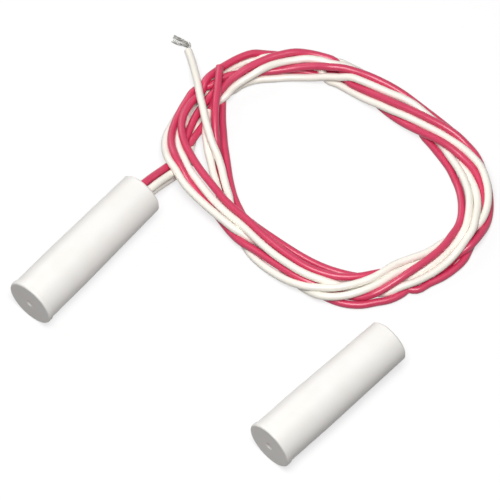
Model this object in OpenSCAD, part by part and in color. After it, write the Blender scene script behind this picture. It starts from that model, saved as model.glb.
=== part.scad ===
// Recessed magnetic contact: a reed switch half on four leads, and the magnet half that works it.
// Both halves lie on their sides on the floor plane z = 0.
// The switch half points along +Y with its closed face in front, and its leads leave from the back.

/* [Housings] */
// Diameter of the barrel where it grips the drilled hole
barrel_d = 9.5; // [9:0.1:12]
// How far the flange stands proud of the barrel
flange_lip = 0.2; // [0.1:0.05:0.6]
// Thickness of the flange
flange_t = 1.1; // [0.8:0.1:2]
// Radius of the flange's front edge
flange_round = 0.35; // [0.1:0.05:0.6]
// Length of a housing from the face to the open back
body_len = 31.75; // [30.5:0.25:45]
// Length of the parallel part of the barrel behind the flange
land_len = 10; // [4:0.5:20]
// How much the barrel's radius shrinks from the parallel part to the back
tail_taper = 0.35; // [0:0.05:0.45]
// Chamfer at the back edge
back_chamfer = 0.25; // [0.1:0.05:0.3]
// Diameter of the bore
bore_d = 6.6; // [6.2:0.1:7.2]
// Thickness of the closed face
face_t = 1.25; // [0.8:0.05:1.8]
// Diameter of the moulding dimple in the face
dimple_d = 1.6; // [1:0.1:2.5]
// Depth of the dimple
dimple_depth = 0.35; // [0.1:0.05:0.5]

/* [Reed] */
// Space between the closed face and the glass
glass_gap = 2.75; // [2.4:0.05:3.2]
// Diameter of the glass capsule
glass_d = 1.8; // [1.6:0.1:1.9]
// Length of the glass capsule
glass_len = 12.7; // [11:0.1:14]
// Wall of the glass round the cavity
glass_wall = 0.25; // [0.15:0.05:0.3]
// Length of solid glass at each end
seal_len = 2; // [1.5:0.1:2.5]
// Diameter of the reed wire
reed_wire_d = 0.45; // [0.35:0.05:0.5]
// Width of the flattened blades
blade_w = 0.8; // [0.6:0.05:0.9]
// Thickness of the flattened blades
blade_t = 0.2; // [0.15:0.01:0.22]
// Gap between the blades when no magnet is near
contact_gap = 0.1; // [0.06:0.01:0.16]
// How far the two blades lie over each other
contact_lap = 0.8; // [0.5:0.1:1.5]
// Straight reed wire in front of the glass
front_stub = 0.9; // [0.5:0.1:1.2]
// Reed wire behind the glass, up to the conductor
rear_stub = 2.7; // [2:0.1:3]

/* [Leads] */
// Outside diameter of a lead
lead_d = 1.5; // [1.4:0.05:1.55]
// Free space between neighbouring leads in the potting
lead_gap = 0.2; // [0.2:0.05:0.4]
// Diameter of the stranded conductor
conductor_d = 0.76; // [0.6:0.02:0.8]
// Length of bare conductor between the reed wire and the insulation
bare_len = 2; // [1.7:0.1:2.5]
// How deep the conductor sits inside the insulation
conductor_hold = 0.6; // [0.3:0.1:1]
// Wall of the sleeve on the returning reed wire
sleeve_t = 0.17; // [0.1:0.01:0.2]
// Diameter of a solder bead
bead_d = 1.1; // [0.9:0.05:1.2]
// Length of a solder bead
bead_len = 3; // [2.4:0.1:3]

/* [Potting] */
// Length of the potting behind the reed
potting_len = 6.5; // [4:0.5:7]
// How far the potting lies below the back edge
potting_recess = 0.75; // [0.3:0.05:1.5]

/* [Magnet] */
// Length of the magnet rod
magnet_len = 25.4; // [15:0.1:26]
// Broken edge at both ends of the magnet rod
magnet_edge = 0.3; // [0.3:0.05:0.8]

/* [Layout] */
// Distance between the two halves' axes at their faces
halves_apart = 53.5; // [45:0.5:80]
// How far the magnet half's face lies behind the switch half's face
magnet_back = 6.4; // [0:0.1:15]
// Angle by which the magnet half is turned away from the switch half
magnet_turn = 4; // [0:1:15]

/* [Lead coil] */
// Half the straight part of the oval coil
coil_half_straight = 8.75; // [4:0.25:16]
// Radius of the middle line of the coil's round ends
coil_r = 19.9; // [19.5:0.1:22]
// Width of the bundle of leads
bundle_w = 6; // [5.4:0.1:6.6]
// Height of the bundle of leads
bundle_h = 4; // [3.4:0.1:4.4]

/* [Hidden] */
$fn = 96;

// Fits and small clearances
magnet_clear = 0.125;
potting_clear = 0.03;
lead_clear = 0.02;
sleeve_clear = 0.03;
blade_root_clear = 0.02;
bead_rim = 0.08;
bore_corner = 0.3;
mouth_chamfer = 0.15;
lip_chamfer = 0.05;
round_steps = 6;
// How far a hole's cutter runs past the end of its piece
cut_over = 1;

// Housing, measured from the closed face
flange_r = barrel_d / 2 + flange_lip;
barrel_r = barrel_d / 2;
tail_r = barrel_r - tail_taper;
bore_r = bore_d / 2;
dimple_r = dimple_d / 2;
land_end = flange_t + land_len;
magnet_d = bore_d - 2 * magnet_clear;

// The two halves stand so that the box round both is centred over the origin
turn_sin = sin(magnet_turn);
turn_cos = cos(magnet_turn);
box_left = -flange_r;
box_right = max(halves_apart + flange_r * turn_cos,
    halves_apart + (body_len - back_chamfer) * turn_sin + tail_r * turn_cos);
box_front = min(0, magnet_back - flange_r * turn_sin);
box_back = max(body_len, magnet_back + body_len * turn_cos + (tail_r - back_chamfer) * turn_sin);
switch_x = -(box_left + box_right) / 2;
switch_y = -(box_front + box_back) / 2;
axis_z = flange_r;

// Stations along the switch half, measured from the closed face
pitch = lead_d + lead_gap;
glass_front = face_t + glass_gap;
glass_rear = glass_front + glass_len;
cavity_front = glass_front + seal_len;
cavity_rear = glass_rear - seal_len;
reed_end = glass_rear + rear_stub;
insulation_start = reed_end + bare_len;
bead_start = reed_end - bead_len / 2;
potting_back = body_len - potting_recess;
potting_front = potting_back - potting_len;
bend_r = pitch / 2;
bend_y = glass_front - front_stub;

// Blades
blade_len = (cavity_rear - cavity_front + contact_lap) / 2 - blade_root_clear;
blade_root_len = 0.5;
blade_neck_len = 0.6;
blade_corner = 0.2;
blade_lift = (contact_gap + blade_t) / 2;

// Leads in the potting: the red pair on the -X side, the white pair on the +X side
red_1_at = [-pitch / 2, pitch / 2];
red_2_at = [-pitch / 2, -pitch / 2];
white_1_at = [pitch / 2, pitch / 2];
white_2_at = [pitch / 2, -pitch / 2];

// Coil centre and lead routes, measured from the middle of the switch half's back end
coil_x = 22.5;
coil_y = 27.5;
red_1_route = [[-0.85, 3, 5.2], [-0.85, 6, 4.1], [-0.85, 9, 3], [-0.8, 12.5, 2.45]];
red_2_route = [[-0.85, 3, 3.55], [-0.85, 6, 2.4], [-0.85, 9, 1.25], [-0.8, 12.5, 0.8]];
white_1_route = [[0.85, 3, 5.2], [0.85, 6, 4.1], [0.85, 9, 3], [0.9, 12.5, 2.45]];
white_2_route = [[0.85, 3, 3.55], [0.85, 6, 2.4], [0.85, 9, 1.25], [0.9, 12.5, 0.8]];
red_1_tail_route = [
    [14.3, 9.5, 0.8],
    [12.1, 10.5, 0.8],
    [10.1, 11.6, 0.9],
    [8.1, 13.1, 0.9],
    [6.3, 14.8, 0.9],
    [4.6, 16.5, 1.1],
    [3, 18, 1.6],
    [1.4, 19.4, 2.3],
    [0, 20.8, 3],
    [-1.4, 22.4, 3.6],
    [-2.8, 24.2, 4],
    [-4.1, 26.1, 4.3],
    [-5.7, 28.3, 4.4],
    [-7.5, 30.8, 4.4],
];
red_2_tail_route = [
    [16.7, 10.3, 0.8],
    [14.4, 11.2, 0.8],
    [12.3, 12.3, 0.8],
    [10.4, 13.6, 0.8],
    [8.5, 15.1, 0.8],
    [6.6, 16.8, 0.8],
    [4.8, 18.4, 0.8],
    [2.9, 20.1, 0.8],
    [1.1, 21.9, 0.8],
    [-0.6, 23.6, 0.8],
    [-2.2, 25.4, 0.8],
    [-3.6, 27.1, 0.8],
    [-4.7, 28.6, 0.8],
];
white_1_tail_route = [
    [15, 7.4, 1.6],
    [13.8, 9.4, 2.3],
    [12.2, 11, 2.5],
    [10.3, 12.3, 2.5],
    [8.5, 13.6, 2.6],
    [6.4, 15.2, 2.7],
    [4.2, 16.5, 3.1],
    [2.2, 17.4, 3.9],
    [0.3, 18.6, 4.5],
    [-1.7, 20, 4.7],
    [-3.6, 21.5, 4.7],
    [-6, 23.4, 4.3],
    [-8.3, 25.4, 3.6],
    [-10.5, 27.2, 2.8],
    [-12.8, 29, 1.9],
    [-14.3, 30.1, 1.3],
    [-15.8, 31.1, 0.8],
];
white_2_tail_route = [
    [10.8, 9.9, 2.5],
    [8.7, 11.4, 2.5],
    [6.4, 13, 2.4],
    [4.5, 14.5, 2.3],
    [2.5, 16, 2.3],
    [1, 17.3, 2.4],
    [-0.4, 18.6, 2.5],
    [-1.4, 19.9, 2.7],
    [-2.4, 21.3, 3],
    [-3.3, 22.4, 3.3],
];
strand_d = 0.5;
strand_routes = [
    [[-15.7, 31, 0.9], [-16.3, 32.1, 1.3], [-17.6, 31.9, 1.3], [-20, 31.6, 0.9]],
    [[-15.8, 31.1, 0.5], [-16.4, 31.8, 0.7], [-17.6, 31.5, 0.7], [-19.8, 30.8, 0.4]],
];

shell_colour = "#f3f1ec";
red_colour = "#e2365c";
white_colour = "#f6f2e6";
metal_colour = "#9a9a98";
solder_colour = "#c4c6c8";
potting_colour = "#d8d2c4";
glass_colour = "#cfe6da";
magnet_colour = "#5a5552";

function unit(v) = v / norm(v);
function ring_dir(p, i) = unit(p[min(i + 1, len(p) - 1)] - p[max(i - 1, 0)]);
function ring_side(t) = unit(cross(t, [0, 0, 1]));

// Points of one ring of a tube with n sides round the route point p[i]
function ring_points(p, i, r, n) =
    let (t = ring_dir(p, i), s = ring_side(t), u = cross(s, t))
    [for (k = [0 : n - 1]) p[i] + r * (cos(360 * (k + 0.5) / n) * s + sin(360 * (k + 0.5) / n) * u)];

// A quarter of an ellipse from [r_small, y0] to [r_big, y0 + depth], as profile points
function shoulder(r_small, r_big, y0, depth, steps) =
    [for (k = [0 : steps])
        [r_small + (r_big - r_small) * sin(90 * k / steps), y0 + depth * (1 - cos(90 * k / steps))]];

function reversed(list) = [for (k = [len(list) - 1 : -1 : 0]) list[k]];
function flipped(list, span) = [for (p = reversed(list)) [p[0], span - p[1]]];

// A tube with n sides swept along the points of a route
module swept_tube(route, d, n = 8) {
    m = len(route);
    rings = [for (i = [0 : m - 1]) each ring_points(route, i, d / 2, n)];
    sides = [for (i = [0 : m - 2], k = [0 : n - 1])
        [i * n + k, i * n + (k + 1) % n, (i + 1) * n + (k + 1) % n, (i + 1) * n + k]];
    front_cap = [[for (k = [n - 1 : -1 : 0]) k]];
    back_cap = [[for (k = [0 : n - 1]) (m - 1) * n + k]];
    polyhedron(points = rings, faces = concat(sides, front_cap, back_cap));
}

// Puts children in the switch half's frame: origin in the middle of the closed face, +Y to the back
module in_switch() {
    translate([switch_x, switch_y, axis_z]) children();
}

// The same for the magnet half, which is turned a little
module in_magnet() {
    translate([switch_x + halves_apart, switch_y + magnet_back, axis_z])
        rotate([0, 0, -magnet_turn])
            children();
}

// Turns a shape that stands on z = 0 so that it runs along +Y from y = start, at [x, z] = at
module along(at, start) {
    translate([at[0], start, at[1]])
        rotate([-90, 0, 0])
            children();
}

module rod(at, start, end, d) {
    along(at, start) cylinder(h = end - start, d = d);
}

// Moulded housing: closed face with a dimple, slim flange, parallel land and slightly tapered tail
module housing() {
    dimple = [
        [0, dimple_depth],
        [dimple_r / 2, dimple_depth * 0.85],
        [dimple_r, 0],
    ];
    flange_edge = [for (k = [0 : round_steps])
        [flange_r - flange_round * (1 - sin(90 * k / round_steps)),
            flange_round * (1 - cos(90 * k / round_steps))]];
    barrel = [
        [flange_r, flange_t - lip_chamfer],
        [flange_r - lip_chamfer, flange_t],
        [barrel_r, flange_t],
        [barrel_r, land_end],
        [tail_r, body_len - back_chamfer],
        [tail_r - back_chamfer, body_len],
    ];
    inside = [
        [bore_r + mouth_chamfer, body_len],
        [bore_r, body_len - mouth_chamfer],
        [bore_r, face_t + bore_corner],
        [bore_r - bore_corner, face_t],
        [0, face_t],
    ];
    along([0, 0], 0)
        rotate_extrude()
            polygon(concat(dimple, flange_edge, barrel, inside));
}

module switch_shell() {
    color(shell_colour) in_switch() housing();
}

module switch_potting() {
    color(potting_colour) in_switch() difference() {
        rod([0, 0], potting_front, potting_back, bore_d - 2 * potting_clear);
        for (at = [red_1_at, red_2_at, white_1_at, white_2_at])
            rod(at, potting_front - cut_over, potting_back + cut_over, lead_d + 2 * lead_clear);
    }
}

// Glass capsule, drawn out and sealed on the reed wire at both ends
module reed_glass() {
    wire_r = reed_wire_d / 2;
    outer_r = glass_d / 2;
    inner_r = outer_r - glass_wall;
    outer_half = shoulder(wire_r + glass_wall, outer_r, 0, seal_len * 0.7, round_steps);
    inner_half = shoulder(wire_r, inner_r, seal_len, seal_len * 0.3, round_steps);
    profile = concat(
        [[wire_r, 0]], outer_half, flipped(outer_half, glass_len), [[wire_r, glass_len]],
        reversed(concat(inner_half, flipped(inner_half, glass_len))));
    color(glass_colour, 0.4) in_switch() along(red_1_at, glass_front)
        rotate_extrude() polygon(profile);
}

// Blade from its root at the origin along +Y: round root, neck and flat paddle on the +Z side.
// Both blades are turned on edge, so that they bend sideways towards each other.
module blade() {
    wire_r = reed_wire_d / 2;
    paddle_start = blade_root_len + blade_neck_len;
    w = blade_w / 2;
    rotate([-90, 0, 0]) cylinder(h = blade_root_len, r = wire_r, $fn = 32);
    hull() {
        translate([0, blade_root_len, 0])
            rotate([-90, 0, 0]) cylinder(h = 0.02, r = wire_r, $fn = 32);
        translate([-w, paddle_start, blade_lift - blade_t / 2])
            cube([blade_w, 0.02, blade_t]);
    }
    translate([0, 0, blade_lift - blade_t / 2])
        linear_extrude(height = blade_t)
            polygon([
                [-w, paddle_start],
                [w, paddle_start],
                [w, blade_len - blade_corner],
                [w - blade_corner, blade_len],
                [blade_corner - w, blade_len],
                [-w, blade_len - blade_corner],
            ]);
}

module reed_blade_front() {
    color(metal_colour) in_switch()
        translate([red_1_at[0], cavity_front + blade_root_clear, red_1_at[1]])
            rotate([0, 90, 0])
                blade();
}

module reed_blade_rear() {
    color(metal_colour) in_switch()
        translate([red_1_at[0], cavity_rear - blade_root_clear, red_1_at[1]])
            rotate([0, 90, 0])
                rotate([180, 0, 0])
                    blade();
}

// Front reed wire: out of the glass, round a half turn and back beside the capsule
module reed_lead_front() {
    color(metal_colour) in_switch() {
        rod(red_1_at, bend_y, cavity_front, reed_wire_d);
        rod(red_2_at, bend_y, reed_end, reed_wire_d);
        translate([red_1_at[0], bend_y, 0])
            rotate([0, 0, 180])
                rotate([0, 90, 0])
                    rotate_extrude(angle = 180)
                        translate([bend_r, 0])
                            circle(d = reed_wire_d);
    }
}

module reed_lead_rear() {
    color(metal_colour) in_switch() rod(red_1_at, cavity_rear, reed_end, reed_wire_d);
}

module return_sleeve() {
    inner_d = reed_wire_d + 2 * sleeve_clear;
    color("#e8dfc0") in_switch() difference() {
        rod(red_2_at, glass_front, glass_rear, inner_d + 2 * sleeve_t);
        rod(red_2_at, glass_front - cut_over, glass_rear + cut_over, inner_d);
    }
}

// Solder bead round the end of the reed wire and the end of the conductor
module bead(at) {
    end_r = conductor_d / 2 + bead_rim;
    half = shoulder(end_r, bead_d / 2, 0, bead_len * 0.3, round_steps);
    along(at, bead_start)
        rotate_extrude()
            polygon(concat(
                [[reed_wire_d / 2, 0]], half, flipped(half, bead_len),
                [[conductor_d / 2, bead_len], [conductor_d / 2, bead_len / 2],
                    [reed_wire_d / 2, bead_len / 2]]));
}

module splice_rear() {
    color(solder_colour) in_switch() bead(red_1_at);
}

module splice_return() {
    color(solder_colour) in_switch() bead(red_2_at);
}

// One bead that joins the conductors of the white pair
module loop_splice() {
    length = bead_len / 2 + bead_d / 2;
    color(solder_colour) in_switch() difference() {
        union() {
            for (at = [white_1_at, white_2_at])
                rod(at, reed_end - bead_d / 2, reed_end - bead_d / 2 + length, bead_d);
            translate([white_1_at[0] - bead_d / 2, reed_end - bead_d / 2, white_2_at[1]])
                cube([bead_d, length, pitch]);
        }
        for (at = [white_1_at, white_2_at])
            rod(at, reed_end, insulation_start, conductor_d);
    }
}

module conductor(at) {
    in_switch() rod(at, reed_end, insulation_start + conductor_hold, conductor_d);
}

module red_1_conductor() {
    color(metal_colour) conductor(red_1_at);
}

module red_2_conductor() {
    color(metal_colour) conductor(red_2_at);
}

module white_1_conductor() {
    color(metal_colour) conductor(white_1_at);
}

module white_2_conductor() {
    color(metal_colour) conductor(white_2_at);
}

// One lead from the end of its insulation through the potting and along its route into the coil
module lead_stretch(at, route) {
    inner = [[at[0], insulation_start - body_len, axis_z + at[1]], [at[0], 0, axis_z + at[1]]];
    difference() {
        translate([switch_x, switch_y + body_len, 0])
            swept_tube(concat(inner, route), lead_d);
        in_switch()
            rod(at, insulation_start - cut_over, insulation_start + conductor_hold, conductor_d);
    }
}

module red_1_lead() {
    color(red_colour) lead_stretch(red_1_at, red_1_route);
}

module red_2_lead() {
    color(red_colour) lead_stretch(red_2_at, red_2_route);
}

module white_1_lead() {
    color(white_colour) lead_stretch(white_1_at, white_1_route);
}

module white_2_lead() {
    color(white_colour) lead_stretch(white_2_at, white_2_route);
}

// Round-sided section of the bundle of leads, its lowest point at 0
module bundle_section() {
    r = bundle_h / 2;
    reach = bundle_w / 2 - r;
    translate([-reach, r]) circle(r = r);
    translate([reach, r]) circle(r = r);
    translate([-reach, 0]) square([2 * reach, bundle_h]);
}

// Outer shape of the coil of four leads: an oval ring that lies on the floor
module lead_coil() {
    color("#ef9fb0")
        translate([switch_x + coil_x, switch_y + body_len + coil_y, 0])
            for (side = [0, 180])
                rotate([0, 0, side]) {
                    translate([coil_half_straight, 0, 0])
                        rotate([0, 0, -90])
                            rotate_extrude(angle = 180)
                                translate([coil_r, 0])
                                    bundle_section();
                    translate([-coil_half_straight, -coil_r, 0])
                        rotate([90, 0, 90])
                            linear_extrude(height = 2 * coil_half_straight)
                                bundle_section();
                }
}

module tail(route) {
    translate([switch_x, switch_y + body_len, 0]) swept_tube(route, lead_d);
}

module red_1_tail() {
    color(red_colour) tail(red_1_tail_route);
}

module red_2_tail() {
    color(red_colour) tail(red_2_tail_route);
}

module white_1_tail() {
    color(white_colour) tail(white_1_tail_route);
}

module white_2_tail() {
    color(white_colour) tail(white_2_tail_route);
}

// Bare strands of the first white lead, bent aside in two bunches
module white_1_strands() {
    color(metal_colour) translate([switch_x, switch_y + body_len, 0])
        for (route = strand_routes)
            swept_tube(route, strand_d);
}

module magnet_shell() {
    color(shell_colour) in_magnet() housing();
}

module magnet_bar() {
    r = magnet_d / 2;
    color(magnet_colour) in_magnet() along([0, 0], face_t)
        rotate_extrude()
            polygon([
                [0, 0],
                [r - magnet_edge, 0],
                [r, magnet_edge],
                [r, magnet_len - magnet_edge],
                [r - magnet_edge, magnet_len],
                [0, magnet_len],
            ]);
}

module magnet_potting() {
    color(potting_colour) in_magnet()
        rod([0, 0], face_t + magnet_len, potting_back, bore_d - 2 * potting_clear);
}

switch_shell();
switch_potting();
reed_glass();
reed_blade_front();
reed_blade_rear();
reed_lead_front();
reed_lead_rear();
return_sleeve();
splice_rear();
splice_return();
loop_splice();
red_1_conductor();
red_2_conductor();
white_1_conductor();
white_2_conductor();
red_1_lead();
red_2_lead();
white_1_lead();
white_2_lead();
lead_coil();
red_1_tail();
red_2_tail();
white_1_tail();
white_2_tail();
white_1_strands();
magnet_shell();
magnet_bar();
magnet_potting();
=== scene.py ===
import bpy
import bmesh
import math
import random
import numpy as np
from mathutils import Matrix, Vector


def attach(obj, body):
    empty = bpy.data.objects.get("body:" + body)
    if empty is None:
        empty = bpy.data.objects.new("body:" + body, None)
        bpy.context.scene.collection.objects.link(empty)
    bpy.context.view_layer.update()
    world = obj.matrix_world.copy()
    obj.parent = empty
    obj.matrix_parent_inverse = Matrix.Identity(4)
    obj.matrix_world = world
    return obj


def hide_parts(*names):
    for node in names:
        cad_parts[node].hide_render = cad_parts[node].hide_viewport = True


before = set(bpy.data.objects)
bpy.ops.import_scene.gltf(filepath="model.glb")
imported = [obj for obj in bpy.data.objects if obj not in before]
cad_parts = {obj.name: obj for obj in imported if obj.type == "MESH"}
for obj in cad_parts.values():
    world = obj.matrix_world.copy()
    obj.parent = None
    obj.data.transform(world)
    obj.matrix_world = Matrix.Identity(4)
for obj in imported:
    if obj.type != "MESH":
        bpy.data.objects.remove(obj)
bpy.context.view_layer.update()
mm = 0.001


# sRGB hex to the linear colour that shaders take
def hexColour(code):
    parts = [int(code[i:i + 2], 16) / 255 for i in (0, 2, 4)]
    linear = [c / 12.92 if c <= 0.04045 else ((c + 0.055) / 1.055) ** 2.4 for c in parts]
    return (*linear, 1)


# Adds one node. An input goes by its name, or by its number as at6, and is a value, or a pair of
# another node and its output's name
def addNode(tree, kind, settings=None, **inputs):
    node = tree.nodes.new(kind)
    for name, value in (settings or {}).items():
        setattr(node, name, value)
    for name, value in inputs.items():
        socket = node.inputs[int(name[2:]) if name.startswith("at") else name.replace("_", " ")]
        if isinstance(value, tuple) and isinstance(value[0], bpy.types.Node):
            tree.links.new(value[0].outputs[value[1]], socket)
        else:
            socket.default_value = value
    return node


# Starts a material and returns it with its node tree, shader and object coordinates
def startMaterial(name, **shaderValues):
    material = bpy.data.materials.new(name)
    material.use_nodes = True
    tree = material.node_tree
    tree.nodes.clear()
    shader = addNode(tree, "ShaderNodeBsdfPrincipled", None, **shaderValues)
    addNode(tree, "ShaderNodeOutputMaterial", None, Surface=(shader, "BSDF"))
    place = addNode(tree, "ShaderNodeTexCoord")
    return material, tree, shader, place


# Colour that wanders in clouds between a look's two shades
def cloudColour(tree, shader, place, look, detail=2.0):
    clouds = addNode(tree, "ShaderNodeTexNoise", None, Vector=(place, "Object"),
                     Scale=1 / (look["cloudMm"] * mm), Detail=detail)
    tint = addNode(tree, "ShaderNodeMix", {"data_type": "RGBA"}, Factor=(clouds, "Fac"),
                   at6=hexColour(look["shade"]), at7=hexColour(look["colour"]))
    tree.links.new(tint.outputs[2], shader.inputs["Base Color"])
    return clouds


def dress(obj, material):
    obj.data.materials.clear()
    obj.data.materials.append(material)


# Camera at the photo's viewing angle, far off with a long lens as in a small product photo
cameraView = {
    "azimuth": 41,
    "elevation": 60,
    "target": (-0.00599, 0.01865, 0),
    "distance": 1.5,
    "lens": 574.7,
}


def addCamera():
    azimuth = math.radians(cameraView["azimuth"])
    elevation = math.radians(cameraView["elevation"])
    level = math.cos(elevation)
    back = Vector((math.sin(azimuth) * level, -math.cos(azimuth) * level, math.sin(elevation)))
    data = bpy.data.cameras.new("camera")
    data.lens = cameraView["lens"]
    data.clip_start = 0.05
    data.clip_end = 20
    camera = bpy.data.objects.new("camera", data)
    camera.location = Vector(cameraView["target"]) + back * cameraView["distance"]
    camera.rotation_euler = (math.pi / 2 - elevation, 0, azimuth)
    bpy.context.scene.collection.objects.link(camera)
    bpy.context.scene.camera = camera


addCamera()
print("camera placed")

# Leads in metres from the point on the floor under the middle of the switch half's back end.
# exit and tail repeat the routes of the part's source. lay is how each lead lies in the coil:
# turns along it, lead widths outward from its middle line, layer above the floor, and 1 where the
# lead keeps its place or 0 where the others may push it aside.
leadSizes = {
    "diameter": 0.0015,
    "startDepth": 0.01035,
    "depthShares": (1, 0.67, 0.33, 0),
    "pottingRecess": 0.00075,
    "step": 0.0008,
    "pitch": 0.0017,
    "axisHeight": 0.00495,
    "backEnd": (-0.027568, 0.012569),
}
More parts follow.
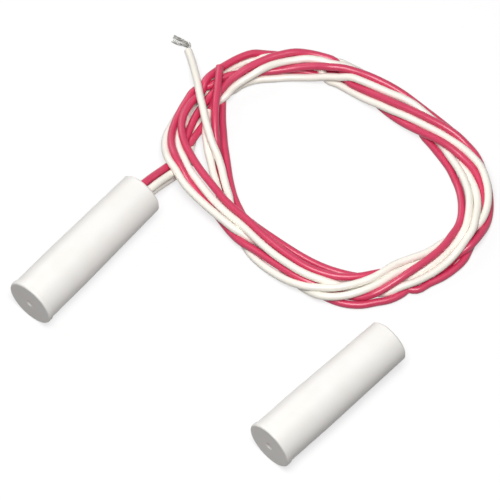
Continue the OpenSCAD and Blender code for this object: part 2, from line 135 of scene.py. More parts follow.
# The middle line of the coil is two half circles and two straights. The values from pulledShare
# on say how the leads settle: how hard each is drawn to where lay puts it, how far two that touch
# push apart, and how much a kink eases.
coil = {
    "centre": (0.0225, 0.0275),
    "halfStraight": 0.00875,
    "radius": 0.0199,
    "station": 0.0025,
    "lowestLayer": 0.54,
    "layerRise": 0.87,
    "endStep": 0.0005,
    "nearWidths": 7,
    "sameLeadGap": 0.025,
    "ownExitWay": 0.012,
    "ownTailWay": 0.014,
    "settleRounds": 500,
    "pulledShare": 0.8,
    "firmWeight": 4,
    "firmPull": 0.15,
    "pull": 0.02,
    "risePull": 0.03,
    "pushShare": 0.5,
    "ease": 0.03,
    "lateEase": 0.009,
}
leads = {
    "red_1": {
        "length": 0.371,
        "inPotting": (-1, 1),
        "exit": [
            (-0.00085, 0.003, 0.0052), (-0.00085, 0.006, 0.0041), (-0.00085, 0.009, 0.003),
            (-0.0008, 0.0125, 0.00245),
        ],
        "lay": [
            (-0.09, -0.5, 1, 1), (-0.06, -1.6, 1, 1), (-0.02, -1.5, 1.5, 0),
            (0.01, -1.1, 1.5, 1), (0.04, -0.9, 2, 1), (0.05, -0.9, 2, 1), (0.07, -0.7, 2, 1),
            (0.09, -0.3, 2, 1), (0.1, -0.1, 2, 1), (0.12, 0.3, 1.5, 1), (0.14, 0.6, 1, 1),
            (0.17, -0.1, 0.5, 0), (0.19, -0.9, 0.5, 0), (0.22, -1, 1, 1), (0.24, -0.5, 1.5, 1),
            (0.26, -0.2, 2, 1), (0.29, 0.6, 2, 1), (0.31, 0.6, 2, 1), (0.32, 1.2, 2, 1),
            (0.35, 1.9, 1, 1), (0.37, 2.4, 0.5, 1), (0.4, 2.7, 0, 1), (0.42, 2.6, 0, 1),
            (0.45, 1.9, 0, 1), (0.49, 1.1, 0, 0), (0.52, 0, 0, 0), (0.56, -1.1, 0, 0),
            (0.59, -1.8, 0.5, 0), (0.61, -2, 1.5, 1), (0.64, -1.3, 1.5, 1), (0.69, -0.7, 2, 1),
            (0.72, -0.5, 2, 1), (0.75, -0.5, 2.5, 1), (0.78, -0.8, 2.5, 1), (0.81, -1.1, 2.5, 1),
            (0.84, -1.4, 3, 1), (0.87, -0.9, 2.5, 1), (0.9, -0.2, 2.5, 1), (0.91, 0.6, 2.5, 1),
            (0.93, 1.2, 2.5, 1), (0.95, 1.3, 2, 1), (0.97, 0.9, 2, 1), (0.99, 0.7, 2, 1),
            (1, 1.1, 2, 1), (1.01, 1.4, 1.5, 1), (1.02, 1.5, 1.5, 1), (1.03, 1.3, 1, 1),
            (1.04, 1.4, 1, 1), (1.05, 1.6, 1, 1), (1.06, 1.6, 1, 1), (1.07, 1.1, 0.5, 1),
            (1.09, 0.5, 0, 0), (1.12, 0.4, 0, 0), (1.16, -0.1, 0.5, 0), (1.21, -0.9, 0, 0),
            (1.24, -1.3, 0, 0), (1.25, -1.3, 0.5, 1), (1.28, -1.2, 1, 1), (1.3, -1.1, 1, 1),
            (1.32, -0.6, 1.5, 1), (1.35, 0.1, 1.5, 1), (1.36, 0.8, 1, 1), (1.38, 1.4, 1, 1),
            (1.4, 1.7, 0.5, 1), (1.42, 1.8, 0.5, 1), (1.44, 1.6, 0, 1), (1.46, 1.6, 0, 1),
            (1.49, 1.3, 0, 1), (1.5, 1.1, 0, 1), (1.53, 0.7, 0, 1), (1.55, 0.3, 0, 0),
            (1.58, -1.3, 0, 0), (1.61, -2.4, 0.5, 1), (1.65, -2.5, 0.5, 1), (1.69, -2.3, 0.5, 1),
            (1.71, -1.6, 1, 1), (1.74, -1.5, 1, 0), (1.77, -1.3, 1, 0),
        ],
        "tail": [
            (0.0143, 0.0095, 0.0008), (0.0121, 0.0105, 0.0008), (0.0101, 0.0116, 0.0009),
            (0.0081, 0.0131, 0.0009), (0.0063, 0.0148, 0.0009), (0.0046, 0.0165, 0.0011),
            (0.003, 0.018, 0.0016), (0.0014, 0.0194, 0.0023), (0, 0.0208, 0.003),
            (-0.0014, 0.0224, 0.0036), (-0.0028, 0.0242, 0.004), (-0.0041, 0.0261, 0.0043),
            (-0.0057, 0.0283, 0.0044), (-0.0075, 0.0308, 0.0044),
        ],
    },
    "red_2": {
        "length": 0.361,
        "inPotting": (-1, -1),
        "exit": [
            (-0.00085, 0.003, 0.00355), (-0.00085, 0.006, 0.0024), (-0.00085, 0.009, 0.00125),
            (-0.0008, 0.0125, 0.0008),
        ],
        "lay": [
            (-0.08, 0.3, 1, 1), (-0.04, -0.3, 1, 1), (-0.02, -0.5, 1, 0), (0.01, -0.9, 0, 0),
            (0.06, -1.3, 0, 0), (0.1, -1.5, 0, 0), (0.14, -1.2, 0, 0), (0.21, -0.3, 0, 0),
            (0.28, 0, 0, 0), (0.3, -0.9, 0, 1), (0.32, -1.1, 0, 1), (0.35, -1.3, 0, 1),
            (0.39, -1.1, 0, 1), (0.41, -0.7, 0, 1), (0.43, -0.4, 0.5, 0), (0.45, -0.3, 1, 1),
            (0.47, -0.8, 2, 1), (0.5, -1, 2, 1), (0.52, -1.1, 2, 1), (0.53, -1.1, 2, 1),
            (0.55, -0.9, 1.5, 1), (0.57, -0.4, 1, 1), (0.61, 0, 0.5, 0), (0.66, 0.3, 0.5, 1),
            (0.68, 0.7, 1, 1), (0.69, 0.8, 1, 1), (0.72, 1.1, 1, 1), (0.75, 1.2, 1, 1),
            (0.77, 1.5, 1, 1), (0.79, 1.1, 1, 1), (0.81, 0.4, 1.5, 1), (0.83, 0.1, 1.5, 1),
            (0.86, 0.8, 2, 1), (0.89, 1.4, 2.5, 1), (0.9, 1.8, 2, 1), (0.92, 2.2, 1.5, 1),
            (0.94, 2.1, 1, 1), (0.95, 1.9, 1, 1), (0.97, 1.1, 1, 0), (0.99, 0.9, 1, 0),
            (1.01, 0, 1, 0), (1.04, -0.8, 0.5, 0), (1.06, -1.4, 0.5, 0), (1.07, -1.6, 0.5, 1),
            (1.1, -1.9, 1, 1), (1.14, -1.3, 1.5, 1), (1.17, -0.6, 2, 1), (1.21, 0.6, 2, 1),
            (1.24, 1.6, 1.5, 1), (1.27, 1.9, 1, 1), (1.31, 1.8, 0, 0), (1.39, 1.1, 0, 0),
            (1.45, 0.3, 0, 0), (1.52, -0.4, 0, 1), (1.55, 0, 0, 1), (1.56, 0.3, 0, 1),
            (1.58, 0.7, 0, 1), (1.6, 1.3, 0, 1), (1.62, 1.8, 0, 1), (1.64, 1.5, 0, 1),
            (1.69, -0.7, 0, 0), (1.72, -1.3, 0, 0), (1.76, -1.6, 0, 0),
        ],
        "tail": [
            (0.0167, 0.0103, 0.0008), (0.0144, 0.0112, 0.0008), (0.0123, 0.0123, 0.0008),
            (0.0104, 0.0136, 0.0008), (0.0085, 0.0151, 0.0008), (0.0066, 0.0168, 0.0008),
            (0.0048, 0.0184, 0.0008), (0.0029, 0.0201, 0.0008), (0.0011, 0.0219, 0.0008),
            (-0.0006, 0.0236, 0.0008), (-0.0022, 0.0254, 0.0008), (-0.0036, 0.0271, 0.0008),
            (-0.0047, 0.0286, 0.0008),
        ],
    },
    "white_1": {
        "length": 0.37,
        "inPotting": (1, 1),
        "exit": [
            (0.00085, 0.003, 0.0052), (0.00085, 0.006, 0.0041), (0.00085, 0.009, 0.003),
            (0.0009, 0.0125, 0.00245),
        ],
        "lay": [
            (-0.07, -0.3, 0.5, 0), (-0.05, -0.5, 0, 0), (-0.02, -1, 0, 0), (-0.01, -1.3, 0.5, 0),
            (0, -1.5, 1, 1), (0.01, -1.5, 1, 1), (0.03, -1.9, 1.5, 1), (0.05, -1.8, 1.5, 1),
            (0.07, -1.5, 1.5, 1), (0.09, -1.1, 1.5, 1), (0.1, -0.8, 1.5, 1),
            (0.12, -0.5, 1.5, 1), (0.14, -0.5, 1.5, 1), (0.16, -0.3, 1.5, 1), (0.17, 0.1, 1, 1),
            (0.22, 0.8, 0, 0), (0.27, 0.8, 0, 0), (0.32, 0.3, 0, 0), (0.36, 0.1, 0.5, 1),
            (0.38, 0.4, 1, 1), (0.4, 1, 1.5, 1), (0.42, 1.1, 1.5, 1), (0.45, 1.3, 1.5, 1),
            (0.46, 1.3, 1.5, 1), (0.48, 0.9, 1, 1), (0.51, 0.5, 0.5, 1), (0.55, -0.3, 0, 0),
            (0.61, -0.4, 0.5, 0), (0.66, 0, 1.5, 1), (0.68, 0.4, 2, 1), (0.7, 0.4, 2, 1),
            (0.72, 0.6, 2, 1), (0.75, 0.4, 2, 1), (0.79, 0.1, 2, 1), (0.81, -0.2, 2, 1),
            (0.84, -0.2, 2, 1), (0.87, 0.4, 2, 1), (0.9, 1.3, 1.5, 1), (0.94, 0.8, 1, 0),
            (0.97, -0.5, 0, 0), (1.01, -1.3, 0, 0), (1.05, -1.6, 0, 1), (1.08, -2.5, 0, 1),
            (1.12, -2.6, 0, 1), (1.15, -2.3, 0.5, 1), (1.17, -1.7, 1, 1), (1.22, 0.1, 1.5, 1),
            (1.25, 1.1, 1.5, 1), (1.27, 1.7, 1, 1), (1.31, 0.8, 0, 0), (1.39, 0.1, 0, 0),
            (1.44, -0.1, 0, 0), (1.48, -1.5, 0, 1), (1.5, -1.9, 0.5, 1), (1.51, -2.3, 1, 1),
            (1.55, -3.1, 1.5, 1), (1.58, -2.2, 1.5, 1), (1.61, -1, 1.5, 1), (1.63, 0, 1.5, 1),
            (1.65, 0.6, 1.5, 1), (1.68, 1.7, 1, 1), (1.7, 2, 0.5, 1), (1.73, 2, 0, 1),
            (1.74, 2, 0, 1), (1.77, 1.3, 0, 0), (1.78, 0.6, 0, 0),
        ],
        "tail": [
            (0.015, 0.0074, 0.0016), (0.0138, 0.0094, 0.0023), (0.0122, 0.011, 0.0025),
            (0.0103, 0.0123, 0.0025), (0.0085, 0.0136, 0.0026), (0.0064, 0.0152, 0.0027),
            (0.0042, 0.0165, 0.0031), (0.0022, 0.0174, 0.0039), (0.0003, 0.0186, 0.0045),
            (-0.0017, 0.02, 0.0047), (-0.0036, 0.0215, 0.0047), (-0.006, 0.0234, 0.0043),
            (-0.0083, 0.0254, 0.0036), (-0.0105, 0.0272, 0.0028), (-0.0128, 0.029, 0.0019),
            (-0.0143, 0.0301, 0.0013), (-0.0158, 0.0311, 0.0008),
        ],
    },
    "white_2": {
        "length": 0.368,
        "inPotting": (1, -1),
        "exit": [
            (0.00085, 0.003, 0.00355), (0.00085, 0.006, 0.0024), (0.00085, 0.009, 0.00125),
            (0.0009, 0.0125, 0.0008),
        ],
        "lay": [
            (-0.06, 0.6, 0.5, 1), (-0.04, 0.8, 0.5, 1), (-0.02, 1.3, 0.5, 1), (-0.01, 0.7, 0, 0),
            (0.04, 0.2, 0, 0), (0.07, -0.3, 0, 0), (0.1, -0.5, 0, 0), (0.14, -0.5, 0, 0),
            (0.17, 0.3, 0, 0), (0.25, -0.1, 0, 0), (0.31, -0.4, 0, 0), (0.35, -0.6, 0.5, 1),
            (0.37, -0.4, 1, 1), (0.4, 0.2, 1.5, 1), (0.42, 0, 1.5, 1), (0.43, 0.1, 1.5, 1),
            (0.45, 0.3, 1.5, 1), (0.48, -0.3, 1, 1), (0.52, -0.4, 1, 1), (0.55, -0.9, 0.5, 0),
            (0.6, -0.9, 0, 0), (0.66, -0.7, 0, 0), (0.71, -0.5, 0, 0), (0.74, -0.1, 0.5, 0),
            (0.77, 0.8, 1.5, 1), (0.79, 1.2, 2, 1), (0.8, 1.1, 2.5, 1), (0.82, 0.9, 2.5, 1),
            (0.84, 1.3, 2.5, 1), (0.86, 1.9, 2.5, 1), (0.89, 2.5, 2.5, 1), (0.9, 2.8, 2, 1),
            (0.93, 3.1, 1, 1), (0.94, 2, 0, 0), (0.96, 1.7, 0, 0), (0.99, 1.7, 0, 0),
            (1.01, 1.5, 0, 0), (1.04, 1.2, 0, 0), (1.06, 0.7, 0, 0), (1.09, 0.1, 1, 0),
            (1.11, -0.4, 1, 0), (1.14, -1.3, 1, 0), (1.16, -1.8, 0, 0), (1.17, -1.8, 0, 1),
            (1.19, -1.9, 0, 1), (1.21, -1.5, 0.5, 1), (1.25, -1.2, 1, 1), (1.29, -0.2, 1.5, 1),
            (1.32, 0.4, 1.5, 1), (1.35, 1.2, 1.5, 1), (1.37, 2.1, 1.5, 1), (1.4, 2.5, 1.5, 1),
            (1.42, 2.5, 1.5, 1), (1.43, 2.2, 1, 1), (1.46, 0.8, 0, 0), (1.49, -0.9, 0, 0),
            (1.52, -2.2, 0.5, 1), (1.53, -2.1, 0.5, 1), (1.57, -1.7, 0.5, 1), (1.59, -0.6, 1, 1),
            (1.62, 0.5, 1, 1), (1.64, 1.7, 1, 1), (1.66, 1.6, 0.5, 1), (1.71, 0.4, 0, 0),
            (1.74, 0, 0, 0), (1.78, -0.8, 0.5, 0),
        ],
        "tail": [
            (0.0108, 0.0099, 0.0025), (0.0087, 0.0114, 0.0025), (0.0064, 0.013, 0.0024),
            (0.0045, 0.0145, 0.0023), (0.0025, 0.016, 0.0023), (0.001, 0.0173, 0.0024),
            (-0.0004, 0.0186, 0.0025), (-0.0014, 0.0199, 0.0027), (-0.0024, 0.0213, 0.003),
            (-0.0033, 0.0224, 0.0033),
        ],
    },
}
quarterWay = math.pi / 2 * coil["radius"]
straightWay = 2 * coil["halfStraight"]
turnWay = 4 * quarterWay + 2 * straightWay


# Point beside the coil's middle line, a way clockwise from the coil's left end and a lane outward
def coilPoint(way, lane):
    way = (way + quarterWay) % turnWay - quarterWay
    reach = coil["radius"] + lane
    middle = np.array(coil["centre"])
    half = coil["halfStraight"]
    if way < quarterWay:
        angle = math.pi - way / coil["radius"]
        return middle + (-half + reach * math.cos(angle), reach * math.sin(angle))
    if way < quarterWay + straightWay:
        return middle + (way - quarterWay - half, reach)
    if way < 3 * quarterWay + straightWay:
        angle = math.pi / 2 - (way - quarterWay - straightWay) / coil["radius"]
        return middle + (half + reach * math.cos(angle), reach * math.sin(angle))
    return middle + (half - (way - 3 * quarterWay - straightWay), -reach)


# The other way round: how far along the coil and how far outward a point lies
def coilPlace(point):
    x, y = np.array(point[:2]) - coil["centre"]
    half = coil["halfStraight"]
    if abs(x) <= half:
        lane = abs(y) - coil["radius"]
        return (quarterWay + x + half if y > 0 else 3 * quarterWay + straightWay + half - x), lane
    x -= math.copysign(half, x)
    lane = math.hypot(x, y) - coil["radius"]
    if x > 0:
        return quarterWay + straightWay + (math.pi / 2 - math.atan2(y, x)) * coil["radius"], lane
    return (math.pi - math.atan2(y, x) % (2 * math.pi)) * coil["radius"], lane


# Smooth line through the points, with the given step between the new ones
def smoothLine(points, step):
    points = np.array(points, float)
    around = np.vstack([2 * points[0] - points[1], points, 2 * points[-1] - points[-2]])
    line = []
    for a, b, c, d in zip(around, around[1:], around[2:], around[3:]):
        count = max(2, round(np.linalg.norm(c - b) / step))
        for k in range(count):
            u = k / count
            line.append(0.5 * (2 * b + (c - a) * u + (2 * a - 5 * b + 4 * c - d) * u ** 2
                               + (3 * b - 3 * c + d - a) * u ** 3))
    line.append(points[-1])
    return np.array(line)


# Lays the four leads through the coil and pushes them apart until they lie a lead's width apart
def settleCoil():
    width = leadSizes["diameter"]
    names = list(leads)
    way, lane, height, firm, owner, ends = [], [], [], [], [], []
    for number, name in enumerate(names):
        lead = leads[name]
        firstWay, firstLane = coilPlace(lead["exit"][-1])
        lastWay, lastLane = coilPlace(lead["tail"][0])
        lastWay = lastWay % turnWay + turnWay
        keys = [(firstWay, firstLane, lead["exit"][-1][2], 1)]
        for turns, widths, layer, keeps in lead["lay"]:
            rise = coil["lowestLayer"] + coil["layerRise"] * layer
            keys.append((turns * turnWay, widths * width, rise * width, keeps))
        keys.append((lastWay, lastLane, lead["tail"][0][2], 0))
        keyWay, keyLane, keyHeight, keyFirm = np.array(keys).T
        step = coil["station"]
        firstStation = math.ceil((firstWay + step / 2) / step)
        stations = np.arange(firstStation, (lastWay - step / 2) / step) * step
        stations = np.concatenate([[firstWay], stations, [lastWay]])
        way.append(stations)
        lane.append(np.interp(stations, keyWay, keyLane))
        height.append(np.interp(stations, keyWay, keyHeight))
        firm.append(np.interp(stations, keyWay, keyFirm))
        owner.append(np.full(len(stations), number))
        ends.append((firstWay, lastWay))
    starts = np.cumsum([0] + [len(stations) for stations in way])
    way, lane, height, firm, owner = (
        np.concatenate(part) for part in (way, lane, height, firm, owner))
    wantedLane, wantedHeight = lane.copy(), height.copy()
    weight = 1 + (coil["firmWeight"] - 1) * firm
    pull = coil["pull"] + (coil["firmPull"] - coil["pull"]) * firm
    held = np.zeros(len(way), bool)
    held[starts[:-1]] = True
    held[starts[1:] - 1] = True
    free = np.nonzero(~held)[0]
    middle = np.array([coilPoint(w, 0) for w in way])
    outward = np.array([coilPoint(w, 1) for w in way]) - middle

    # The stretches outside the coil stay where they are, and the coil gives way to them
    fixed, fixedOwner, fixedIsTail = [], [], []
    for number, name in enumerate(names):
        for isTail, points in ((False, leads[name]["exit"]), (True, leads[name]["tail"])):
            line = smoothLine(points, coil["endStep"])
            fixed.append(line)
            fixedOwner += [number] * len(line)
            fixedIsTail += [isTail] * len(line)
    fixed, fixedOwner, fixedIsTail = np.vstack(fixed), np.array(fixedOwner), np.array(fixedIsTail)
    near = coil["nearWidths"] * width
    first, second = np.triu_indices(len(way), 1)
    close = np.linalg.norm(middle[first] - middle[second], axis=1) < near
    wayBetween = np.abs(way[first] - way[second])
    close &= (owner[first] != owner[second]) | (wayBetween > coil["sameLeadGap"])
    first, second = first[close], second[close]
    mine, theirs = np.nonzero(np.linalg.norm(middle[:, None] - fixed[None, :, :2], axis=2) < near)
    firstWays, lastWays = np.array(ends).T
    besideTail = way[mine] > lastWays[owner[mine]] - coil["ownTailWay"]
    besideExit = way[mine] < coil["ownExitWay"]
    ownEnd = (owner[mine] == fixedOwner[theirs]) & np.where(
        fixedIsTail[theirs], besideTail, besideExit)
    mine, theirs = mine[~ownEnd], theirs[~ownEnd]

    def pushApart(gap, index, share, sideways, upward, hits):
        far = np.linalg.norm(gap, axis=1)
        touching = far < width
        index = index[touching]
        push = (gap * (share * (width / far - 1))[:, None])[touching]
        np.add.at(sideways, index, (push[:, :2] * outward[index]).sum(axis=1))
        np.add.at(upward, index, push[:, 2])
        np.add.at(hits, index, 1)

    for settleRound in range(coil["settleRounds"]):
        pulled = settleRound < coil["pulledShare"] * coil["settleRounds"]
        place = np.c_[middle + outward * lane[:, None], height]
        sideways, upward, hits = np.zeros((3, len(way)))
        apart = place[first] - place[second]
        share = weight[second] / (weight[first] + weight[second])
        pushApart(apart, first, share, sideways, upward, hits)
        pushApart(-apart, second, 1 - share, sideways, upward, hits)
        pushApart(place[mine] - fixed[theirs], mine, np.ones(len(mine)), sideways, upward, hits)
        hits = np.sqrt(np.maximum(hits, 1))
        lane += coil["pushShare"] * sideways / hits
        height += coil["pushShare"] * upward / hits
        if pulled:
            lane += pull * (wantedLane - lane)
            height += coil["risePull"] * (wantedHeight - height)
        ease = coil["ease"] if pulled else coil["lateEase"]
        for value in (lane, height):
            value[free] += ease * ((value[free - 1] + value[free + 1]) / 2 - value[free])
        height = np.maximum(height, width / 2)
        lane[held], height[held] = wantedLane[held], wantedHeight[held]
    place = np.c_[middle + outward * lane[:, None], height]
    return {name: place[starts[n]:starts[n + 1]] for n, name in enumerate(names)}


# One lead's line from inside the potting, through the coil, to its cut end
def leadLine(name, coilPart):
    lead = leads[name]
    side, level = lead["inPotting"]
    x = side * leadSizes["pitch"] / 2
    z = leadSizes["axisHeight"] + level * leadSizes["pitch"] / 2
    depth = leadSizes["startDepth"]
    inner = [(x, -depth * share, z) for share in leadSizes["depthShares"]]
    points = np.vstack([inner, lead["exit"], coilPart[1:-1], lead["tail"]])
    points[:, :2] += leadSizes["backEnd"]
    return smoothLine(points, leadSizes["step"])


# Glossy extruded soft PVC: an even skin, faintly clouded, with small shallow scuffs
pvcLook = {"ior": 1.53, "scuffMm": 0.5, "relief": 0.25, "reliefMm": 0.03}
leadLook = {
    "red": {"colour": "D73F65", "shade": "C63157", "roughness": 0.3, "cloudMm": 3.0},
    "white": {"colour": "FDFAF2", "shade": "F4EFE3", "roughness": 0.34, "cloudMm": 3.0},
}


def extrudedPvc(name, look):
    material, tree, shader, place = startMaterial(
        name, IOR=pvcLook["ior"], Roughness=look["roughness"])
    cloudColour(tree, shader, place, look, detail=3.0)
    scuffs = addNode(tree, "ShaderNodeTexNoise", None, Vector=(place, "Object"),
                     Scale=1 / (pvcLook["scuffMm"] * mm), Detail=2.0)
    bump = addNode(tree, "ShaderNodeBump", None, Height=(scuffs, "Fac"),
                   Strength=pvcLook["relief"], Distance=pvcLook["reliefMm"] * mm)
    tree.links.new(bump.outputs["Normal"], shader.inputs["Normal"])
    return material


pvc = {colour: extrudedPvc(f"extruded_{colour}_pvc", look) for colour, look in leadLook.items()}


def addLead(name, line):
    colour = name.split("_")[0]
    data = bpy.data.curves.new(name, "CURVE")
    data.dimensions = "3D"
    data.bevel_depth = leadSizes["diameter"] / 2
    data.bevel_resolution = 4
    data.use_fill_caps = True
    spline = data.splines.new("POLY")
    spline.points.add(len(line) - 1)
    spline.points.foreach_set("co", np.c_[line, np.ones(len(line))].ravel())
    spline.use_smooth = True
    lead = bpy.data.objects.new(name, data)
    bpy.context.scene.collection.objects.link(lead)
    dress(lead, pvc[colour])
    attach(lead, "contact_set")
    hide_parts(f"{name}_lead", "lead_coil", f"{name}_tail")
    return lead


coilParts = settleCoil()
leadLines = {name: leadLine(name, coilParts[name]) for name in leads}
for name, line in leadLines.items():
    wayLong = np.linalg.norm(np.diff(line, axis=0), axis=1).sum()
    print(f"{name}: {wayLong * 1000:.1f} mm")
leadPieces = {name: addLead(name, line) for name, line in leadLines.items()}
print("leads laid")

# Bare end of the long white lead: seven tinned strands, splayed in two bunches
strandEnd = {
    "strandDiameter": 0.00025,
    "upper": [(-0.0154, 0.0308, 0.0008), (-0.0158, 0.0312, 0.00085), (-0.0163, 0.0321, 0.0013),
              (-0.0176, 0.0319, 0.0013), (-0.02, 0.0316, 0.0009)],
    "lower": [(-0.0154, 0.0308, 0.0006), (-0.0158, 0.0311, 0.0005), (-0.0164, 0.0318, 0.0007),
              (-0.0176, 0.0315, 0.0005), (-0.0198, 0.0308, 0.0004)],
    "upperCount": 4,
    "lowerCount": 3,
    "step": 0.0002,
    "turns": 0.8,
    "startSpread": 0.62,
    "addedSpread": 0.5,
    "shortest": 0.12,
    "sides": 8,
    "seed": 4,
}

# Drawn and tinned copper: bright grey with dull patches, slightly uneven where the tin lies thick
tinLook = {
    "colour": "B8B8B4",
    "shade": "7C7A76",
    "roughness": 0.32,
    "cloudMm": 0.4,
    "relief": 0.3,
    "reliefMm": 0.02,
}


def tinnedCopper():
    material, tree, shader, place = startMaterial(
        "tinned_copper_drawn", Metallic=1.0, Roughness=tinLook["roughness"])
    patches = cloudColour(tree, shader, place, tinLook, detail=3.0)
    bump = addNode(tree, "ShaderNodeBump", None, Height=(patches, "Fac"),
                   Strength=tinLook["relief"], Distance=tinLook["reliefMm"] * mm)
    tree.links.new(bump.outputs["Normal"], shader.inputs["Normal"])
    return material


tinned = tinnedCopper()


# Round tube along a line, closed at both ends
def addTube(mesh, line, radius, sides):
    line = np.array(line)
    along = np.gradient(line, axis=0)
    rings = []
    across = None
    for point, heading in zip(line, along):
        heading = Vector(heading).normalized()
        if across is None:
            across = heading.orthogonal().normalized()
        across = (across - heading * across.dot(heading)).normalized()
        up = heading.cross(across)
        ring = []
        for k in range(sides):
            angle = 2 * math.pi * k / sides
            spoke = (across * math.cos(angle) + up * math.sin(angle)) * radius
            ring.append(mesh.verts.new(Vector(point) + spoke))
        rings.append(ring)
    for lower, upper in zip(rings, rings[1:]):
        for k in range(sides):
            after = (k + 1) % sides
            mesh.faces.new((lower[k], lower[after], upper[after], upper[k])).smooth = True
    mesh.faces.new(rings[0][::-1])
    mesh.faces.new(rings[-1])


def finishPiece(mesh, name, material):
    data = bpy.data.meshes.new(name)
    bmesh.ops.recalc_face_normals(mesh, faces=mesh.faces)
    mesh.to_mesh(data)
    mesh.free()
    piece = bpy.data.objects.new(name, data)
    bpy.context.scene.collection.objects.link(piece)
    dress(piece, material)
    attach(piece, "contact_set")
    return piece


def addStrands():
    chance = random.Random(strandEnd["seed"])
    thick = strandEnd["strandDiameter"]
    mesh = bmesh.new()
    for bunch in ("upper", "lower"):
        points = np.array(strandEnd[bunch]) + (*leadSizes["backEnd"], 0)
        base = smoothLine(points, strandEnd["step"])
        count = strandEnd[bunch + "Count"]
        share = np.linspace(0, 1, len(base))
        for k in range(count):
            turn = 2 * math.pi * (k / count + share * strandEnd["turns"])
            spread = thick * (strandEnd["startSpread"] + strandEnd["addedSpread"] * share)
            cut = round(len(base) * (1 - chance.random() * strandEnd["shortest"]))
            strand = base.copy()
            strand[:, 1] += spread * np.cos(turn)
            strand[:, 2] = np.maximum(strand[:, 2] + spread * np.sin(turn), thick / 2)
            addTube(mesh, strand[:cut], thick / 2, strandEnd["sides"])
    piece = finishPiece(mesh, "white_1_bare_strands", tinned)
    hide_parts("white_1_strands")
    return piece


strands = addStrands()

# Cut ends of the other three leads: six of the conductor's strands round a seventh show in the cut
cutEnd = {"strandDiameter": 0.00025, "around": 6, "proud": 0.00008, "depth": 0.0006, "sides": 10}


def addCutEnd(name):
    tip = Vector(leadLines[name][-1])
    heading = (tip - Vector(leadLines[name][-3])).normalized()
    across = heading.orthogonal().normalized()
    up = heading.cross(across)
    mesh = bmesh.new()
    for k in range(cutEnd["around"] + 1):
        angle = 2 * math.pi * k / cutEnd["around"]
        off = 0 if k == cutEnd["around"] else cutEnd["strandDiameter"]
        centre = tip + (across * math.cos(angle) + up * math.sin(angle)) * off
        inside = centre - heading * cutEnd["depth"]
        outside = centre + heading * cutEnd["proud"]
        line = [inside, (inside + outside) / 2, outside]
        addTube(mesh, line, cutEnd["strandDiameter"] / 2, cutEnd["sides"])
    return finishPiece(mesh, f"{name}_cut_strands", tinned)


cutEnds = {name: addCutEnd(name) for name in ("red_1", "red_2", "white_2")}
print("lead ends made")

# White injection-moulded ABS: warm white, soft gloss, a fine spark-eroded grain
shellLook = {
    "colour": "F4F3F1",
    "shade": "ECE9E3",
    "roughness": 0.42,
    "ior": 1.54,
    "cloudMm": 5.0,
    "grainMm": 0.12,
    "relief": 0.2,
    "reliefMm": 0.01,
}


def mouldedAbs():
    material, tree, shader, place = startMaterial(
        "abs_white_moulded", IOR=shellLook["ior"], Roughness=shellLook["roughness"])
    cloudColour(tree, shader, place, shellLook)
    grain = addNode(tree, "ShaderNodeTexNoise", None, Vector=(place, "Object"),
                    Scale=1 / (shellLook["grainMm"] * mm), Detail=2.0)
    bump = addNode(tree, "ShaderNodeBump", None, Height=(grain, "Fac"),
                   Strength=shellLook["relief"], Distance=shellLook["reliefMm"] * mm)
    tree.links.new(bump.outputs["Normal"], shader.inputs["Normal"])
    return material


# Cast epoxy: smooth and self-levelled, slightly yellow with small cloudy spots
pottingLook = {
    "colour": "DCD5C4",
    "shade": "CBC2AE",
    "roughness": 0.22,
    "ior": 1.55,
    "cloudMm": 1.5,
}


def castEpoxy():
    material, tree, shader, place = startMaterial(
        "epoxy_cast", IOR=pottingLook["ior"], Roughness=pottingLook["roughness"])
    cloudColour(tree, shader, place, pottingLook, detail=4.0)
    return material


# Soda-lime tube glass, drawn: clear with a faint green, smooth
glassLook = {
    "colour": "E6F2EC",
    "shade": "D8EBE0",
    "roughness": 0.03,
    "ior": 1.52,
    "cloudMm": 2.0,
}


def drawnGlass():
    material, tree, shader, place = startMaterial(
        "glass_drawn", IOR=glassLook["ior"], Roughness=glassLook["roughness"],
        Transmission_Weight=1.0)
    cloudColour(tree, shader, place, glassLook)
    return material


# Inside the housings: plated reed wire with a soft sheen, bright reflowed solder, a dark ground
# magnet, and dull sleeving
insideLook = {
    "nickel_iron_plated": {
        "colour": "A8A6A2", "shade": "8E8C88", "roughness": 0.3, "cloudMm": 0.6},
    "solder_reflowed": {
        "colour": "CED0D2", "shade": "B4B6B8", "roughness": 0.25, "cloudMm": 0.8},
    "alnico_cast_ground": {
        "colour": "666260", "shade": "504C4A", "roughness": 0.45, "cloudMm": 0.5},
    "sleeve_extruded": {
        "colour": "E8DFC0", "shade": "DCD2B0", "roughness": 0.5, "cloudMm": 3.0},
}


def plainMetal(name):
    look = insideLook[name]
    material, tree, shader, place = startMaterial(name, Metallic=1.0, Roughness=look["roughness"])
    cloudColour(tree, shader, place, look, detail=3.0)
    return material


whiteAbs = mouldedAbs()
epoxy = castEpoxy()
glass = drawnGlass()
reedMetal = plainMetal("nickel_iron_plated")
solder = plainMetal("solder_reflowed")
alnico = plainMetal("alnico_cast_ground")
sleeving = extrudedPvc("sleeve_extruded", insideLook["sleeve_extruded"])
finishes = {
    "switch_shell": whiteAbs, "magnet_shell": whiteAbs,
    "switch_potting": epoxy, "magnet_potting": epoxy,
    "reed_glass": glass,
    "reed_blade_front": reedMetal, "reed_blade_rear": reedMetal,
    "reed_lead_front": reedMetal, "reed_lead_rear": reedMetal,
    "return_sleeve": sleeving,
    "splice_rear": solder, "splice_return": solder, "loop_splice": solder,
    "red_1_conductor": tinned, "red_2_conductor": tinned,
    "white_1_conductor": tinned, "white_2_conductor": tinned,
    "magnet_bar": alnico,
}
for node, material in finishes.items():
    dress(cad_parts[node], material)
print("CAD nodes dressed")

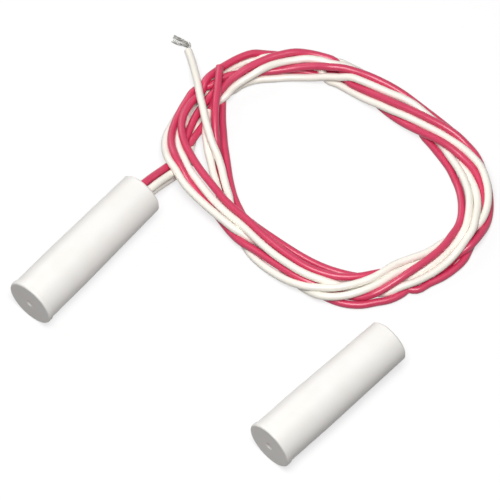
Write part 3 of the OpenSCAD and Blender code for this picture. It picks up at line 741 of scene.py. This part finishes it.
# Soft studio light: a softbox overhead, a weak one low at the left, and a dim room that is seen
# as white
light = {
    "overhead": {"power": 2.7, "size": 0.26, "place": (0.09, -0.1, 0.5)},
    "side": {"power": 0.6, "size": 0.3, "place": (-0.4, 0.08, 0.25)},
    "worldStrength": 0.07,
    "worldColour": "FFFDFA",
}

# Paper floor, faintly clouded. It is seen nearly white, with soft shadows, and the part gets the
# light of its grey. lift is how far the seen floor goes to white.
floorLook = {
    "size": 6,
    "colour": "736E6D",
    "shade": "6D6867",
    "cloudMm": 10 / 3,
    "roughness": 0.9,
    "specular": 0.1,
    "lift": 0.7,
}


# A value that is 1 where the background is seen, straight, mirrored or through glass, and 0 where
# it only lights the part
def seenShare(tree):
    path = addNode(tree, "ShaderNodeLightPath")
    mirrored = addNode(tree, "ShaderNodeMath", {"operation": "MAXIMUM"},
                       at0=(path, "Is Glossy Ray"), at1=(path, "Is Transmission Ray"))
    return addNode(tree, "ShaderNodeMath", {"operation": "MAXIMUM"},
                   at0=(path, "Is Camera Ray"), at1=(mirrored, "Value"))


def addFloor():
    bpy.ops.mesh.primitive_plane_add(size=floorLook["size"], location=(0, 0, 0))
    floor = bpy.context.object
    floor.name = "floor"
    material, tree, shader, place = startMaterial(
        "floor_paper", Roughness=floorLook["roughness"], Specular_IOR_Level=floorLook["specular"])
    clouds = addNode(tree, "ShaderNodeTexNoise", None, Vector=(place, "Object"),
                     Scale=1 / (floorLook["cloudMm"] * mm))
    tint = addNode(tree, "ShaderNodeMix", {"data_type": "RGBA"}, Factor=(clouds, "Fac"),
                   at6=hexColour(floorLook["shade"]), at7=hexColour(floorLook["colour"]))
    seen = seenShare(tree)
    whiter = addNode(tree, "ShaderNodeMix", {"data_type": "RGBA"}, Factor=(seen, "Value"),
                     at7=(1, 1, 1, 1))
    tree.links.new(tint.outputs[2], whiter.inputs[6])
    tree.links.new(whiter.outputs[2], shader.inputs["Base Color"])
    glow = addNode(tree, "ShaderNodeEmission", None, Color=(1, 1, 1, 1), Strength=1.0)
    share = addNode(tree, "ShaderNodeMath", {"operation": "MULTIPLY"},
                    at0=(seen, "Value"), at1=floorLook["lift"])
    blend = addNode(tree, "ShaderNodeMixShader", None, Fac=(share, "Value"),
                    at1=(shader, "BSDF"), at2=(glow, "Emission"))
    output = next(n for n in tree.nodes if n.type == "OUTPUT_MATERIAL")
    tree.links.new(blend.outputs["Shader"], output.inputs["Surface"])
    dress(floor, material)


def addSoftbox(name):
    data = bpy.data.lights.new(name, "AREA")
    data.shape = "SQUARE"
    data.size = light[name]["size"]
    data.energy = light[name]["power"]
    lamp = bpy.data.objects.new(name, data)
    lamp.location = light[name]["place"]
    lamp.rotation_euler = (-lamp.location).to_track_quat("-Z", "Y").to_euler()
    bpy.context.scene.collection.objects.link(lamp)


def addRoom():
    world = bpy.data.worlds.new("room")
    world.use_nodes = True
    world.node_tree.nodes.clear()
    tree = world.node_tree
    seen = seenShare(tree)
    strength = addNode(tree, "ShaderNodeMix", None, Factor=(seen, "Value"),
                       at2=light["worldStrength"], at3=1.0)
    room = addNode(tree, "ShaderNodeBackground", None,
                   Color=hexColour(light["worldColour"]), Strength=(strength, "Result"))
    addNode(tree, "ShaderNodeOutputWorld", None, Surface=(room, "Background"))
    bpy.context.scene.world = world


addFloor()
addSoftbox("overhead")
addSoftbox("side")
addRoom()
bpy.context.scene.view_settings.view_transform = "Standard"
print("light and floor set")
